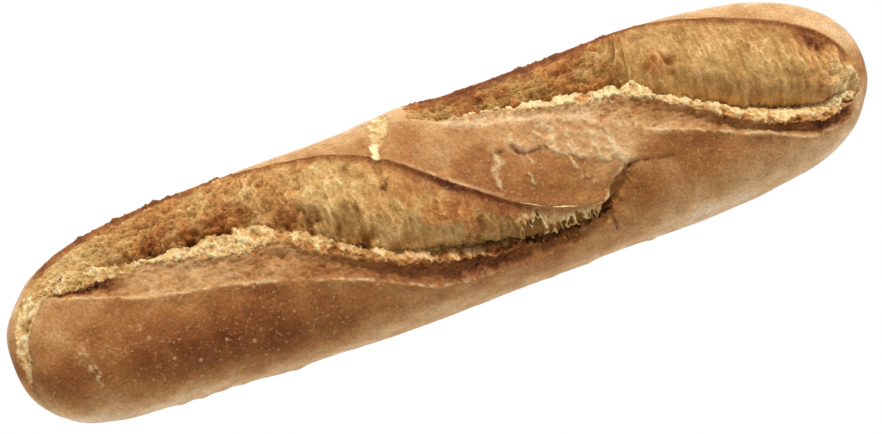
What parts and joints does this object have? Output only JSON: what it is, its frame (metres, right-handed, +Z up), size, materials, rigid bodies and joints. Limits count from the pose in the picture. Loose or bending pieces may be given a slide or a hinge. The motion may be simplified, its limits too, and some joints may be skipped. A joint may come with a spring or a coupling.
{
  "type": "baguette",
  "caption": "Short crusty bread stick with two long slashes burst open along its top, lying on a flat base.",
  "frame": {"origin": "middle of the loaf on the surface it lies on", "axes": "+X along the loaf towards the tip that the back slash runs over, +Z up, -Y towards the side that the front slash opens on"},
  "size_m": [0.272, 0.0644, 0.0485],
  "materials": {
    "crust": "baked bread crust: mostly matt, with a faint egg-shell sheen where it is smooth and dark"
  },
  "bodies": {
    "root": {"baguette": "crust"}
  },
  "joints": []
}
